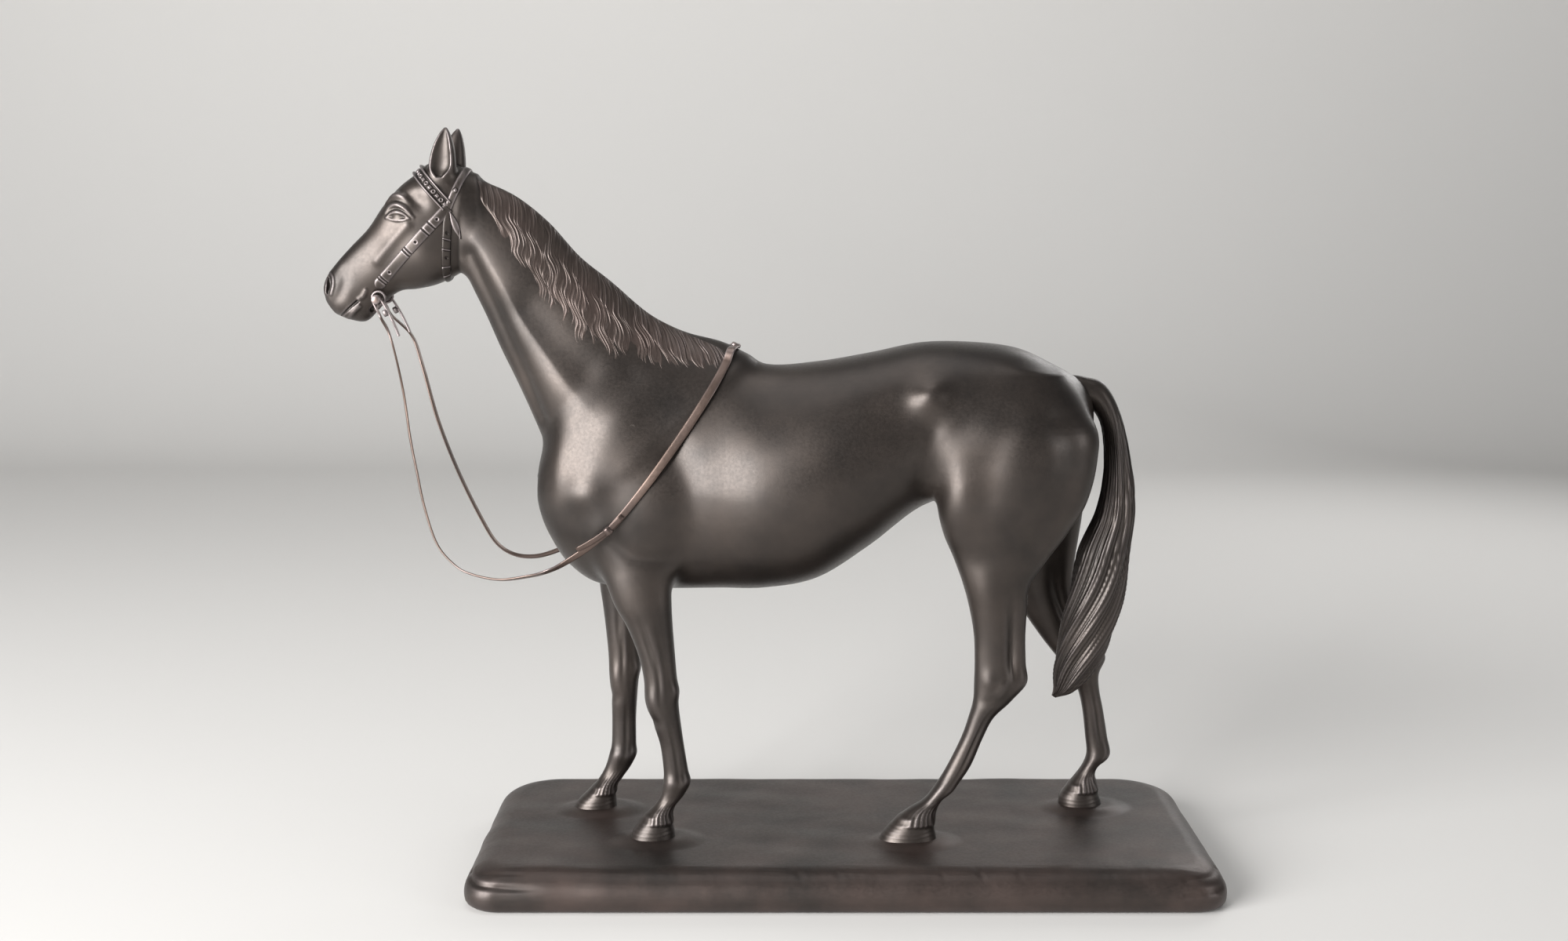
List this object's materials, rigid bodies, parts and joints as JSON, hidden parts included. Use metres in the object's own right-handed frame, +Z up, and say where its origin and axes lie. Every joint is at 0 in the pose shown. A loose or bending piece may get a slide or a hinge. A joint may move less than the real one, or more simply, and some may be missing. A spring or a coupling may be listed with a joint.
{
  "type": "horse statuette",
  "caption": "Standing bridled horse cast in bronze on a hollow rounded plinth, with formed strip reins that hang from the bit and lift off the withers.",
  "frame": {"origin": "below the figure's middle, on the plane of the plinth's underside", "axes": "+Z up, the horse looks along -X, its near (left) side is towards -Y"},
  "size_m": [0.5132, 0.185, 0.432],
  "materials": {
    "bronze_dark": "satin dark brown-black patina, waxed",
    "bronze_plinth": "satin dark brown patina with worn edges",
    "bronze_strap": "satin dark patina, chased",
    "bronze_rein": "worn brown strip with bright edges",
    "steel": "plain turned steel"
  },
  "bodies": {
    "statue": {"base_plinth": "bronze_plinth", "torso": "bronze_dark", "neck": "bronze_dark", "head": "bronze_dark", "near_fore_leg": "bronze_dark", "off_fore_leg": "bronze_dark", "near_hind_leg": "bronze_dark", "off_hind_leg": "bronze_dark", "tail": "bronze_dark", "browband": "bronze_strap", "crownpiece": "bronze_strap", "near_cheekpiece": "bronze_strap", "off_cheekpiece": "bronze_strap", "throat_latch": "bronze_strap", "bit_mouthpiece": "bronze_strap", "near_bit_ring": "bronze_strap", "off_bit_ring": "bronze_strap", "leg_dowels": "steel", "leg_pins": "bronze_dark", "head_dowel": "steel", "head_pins": "bronze_dark", "neck_pins": "bronze_dark", "tail_dowel": "steel", "tail_pin": "bronze_dark", "hoof_studs": "steel", "hoof_washers": "steel", "hoof_nuts": "steel"},
    "reins": {"near_rein": "bronze_rein", "off_rein": "bronze_rein", "rein_keepers": "bronze_rein", "rein_buckle": "bronze_rein"}
  },
  "joints": [
    {"name": "rein_lift", "type": "hinge", "parent": "statue", "child": "reins", "pos_m": [-0.265, 0, 0.3355], "axis": [0, -1, 0], "range_deg": [0, 12]}
  ]
}
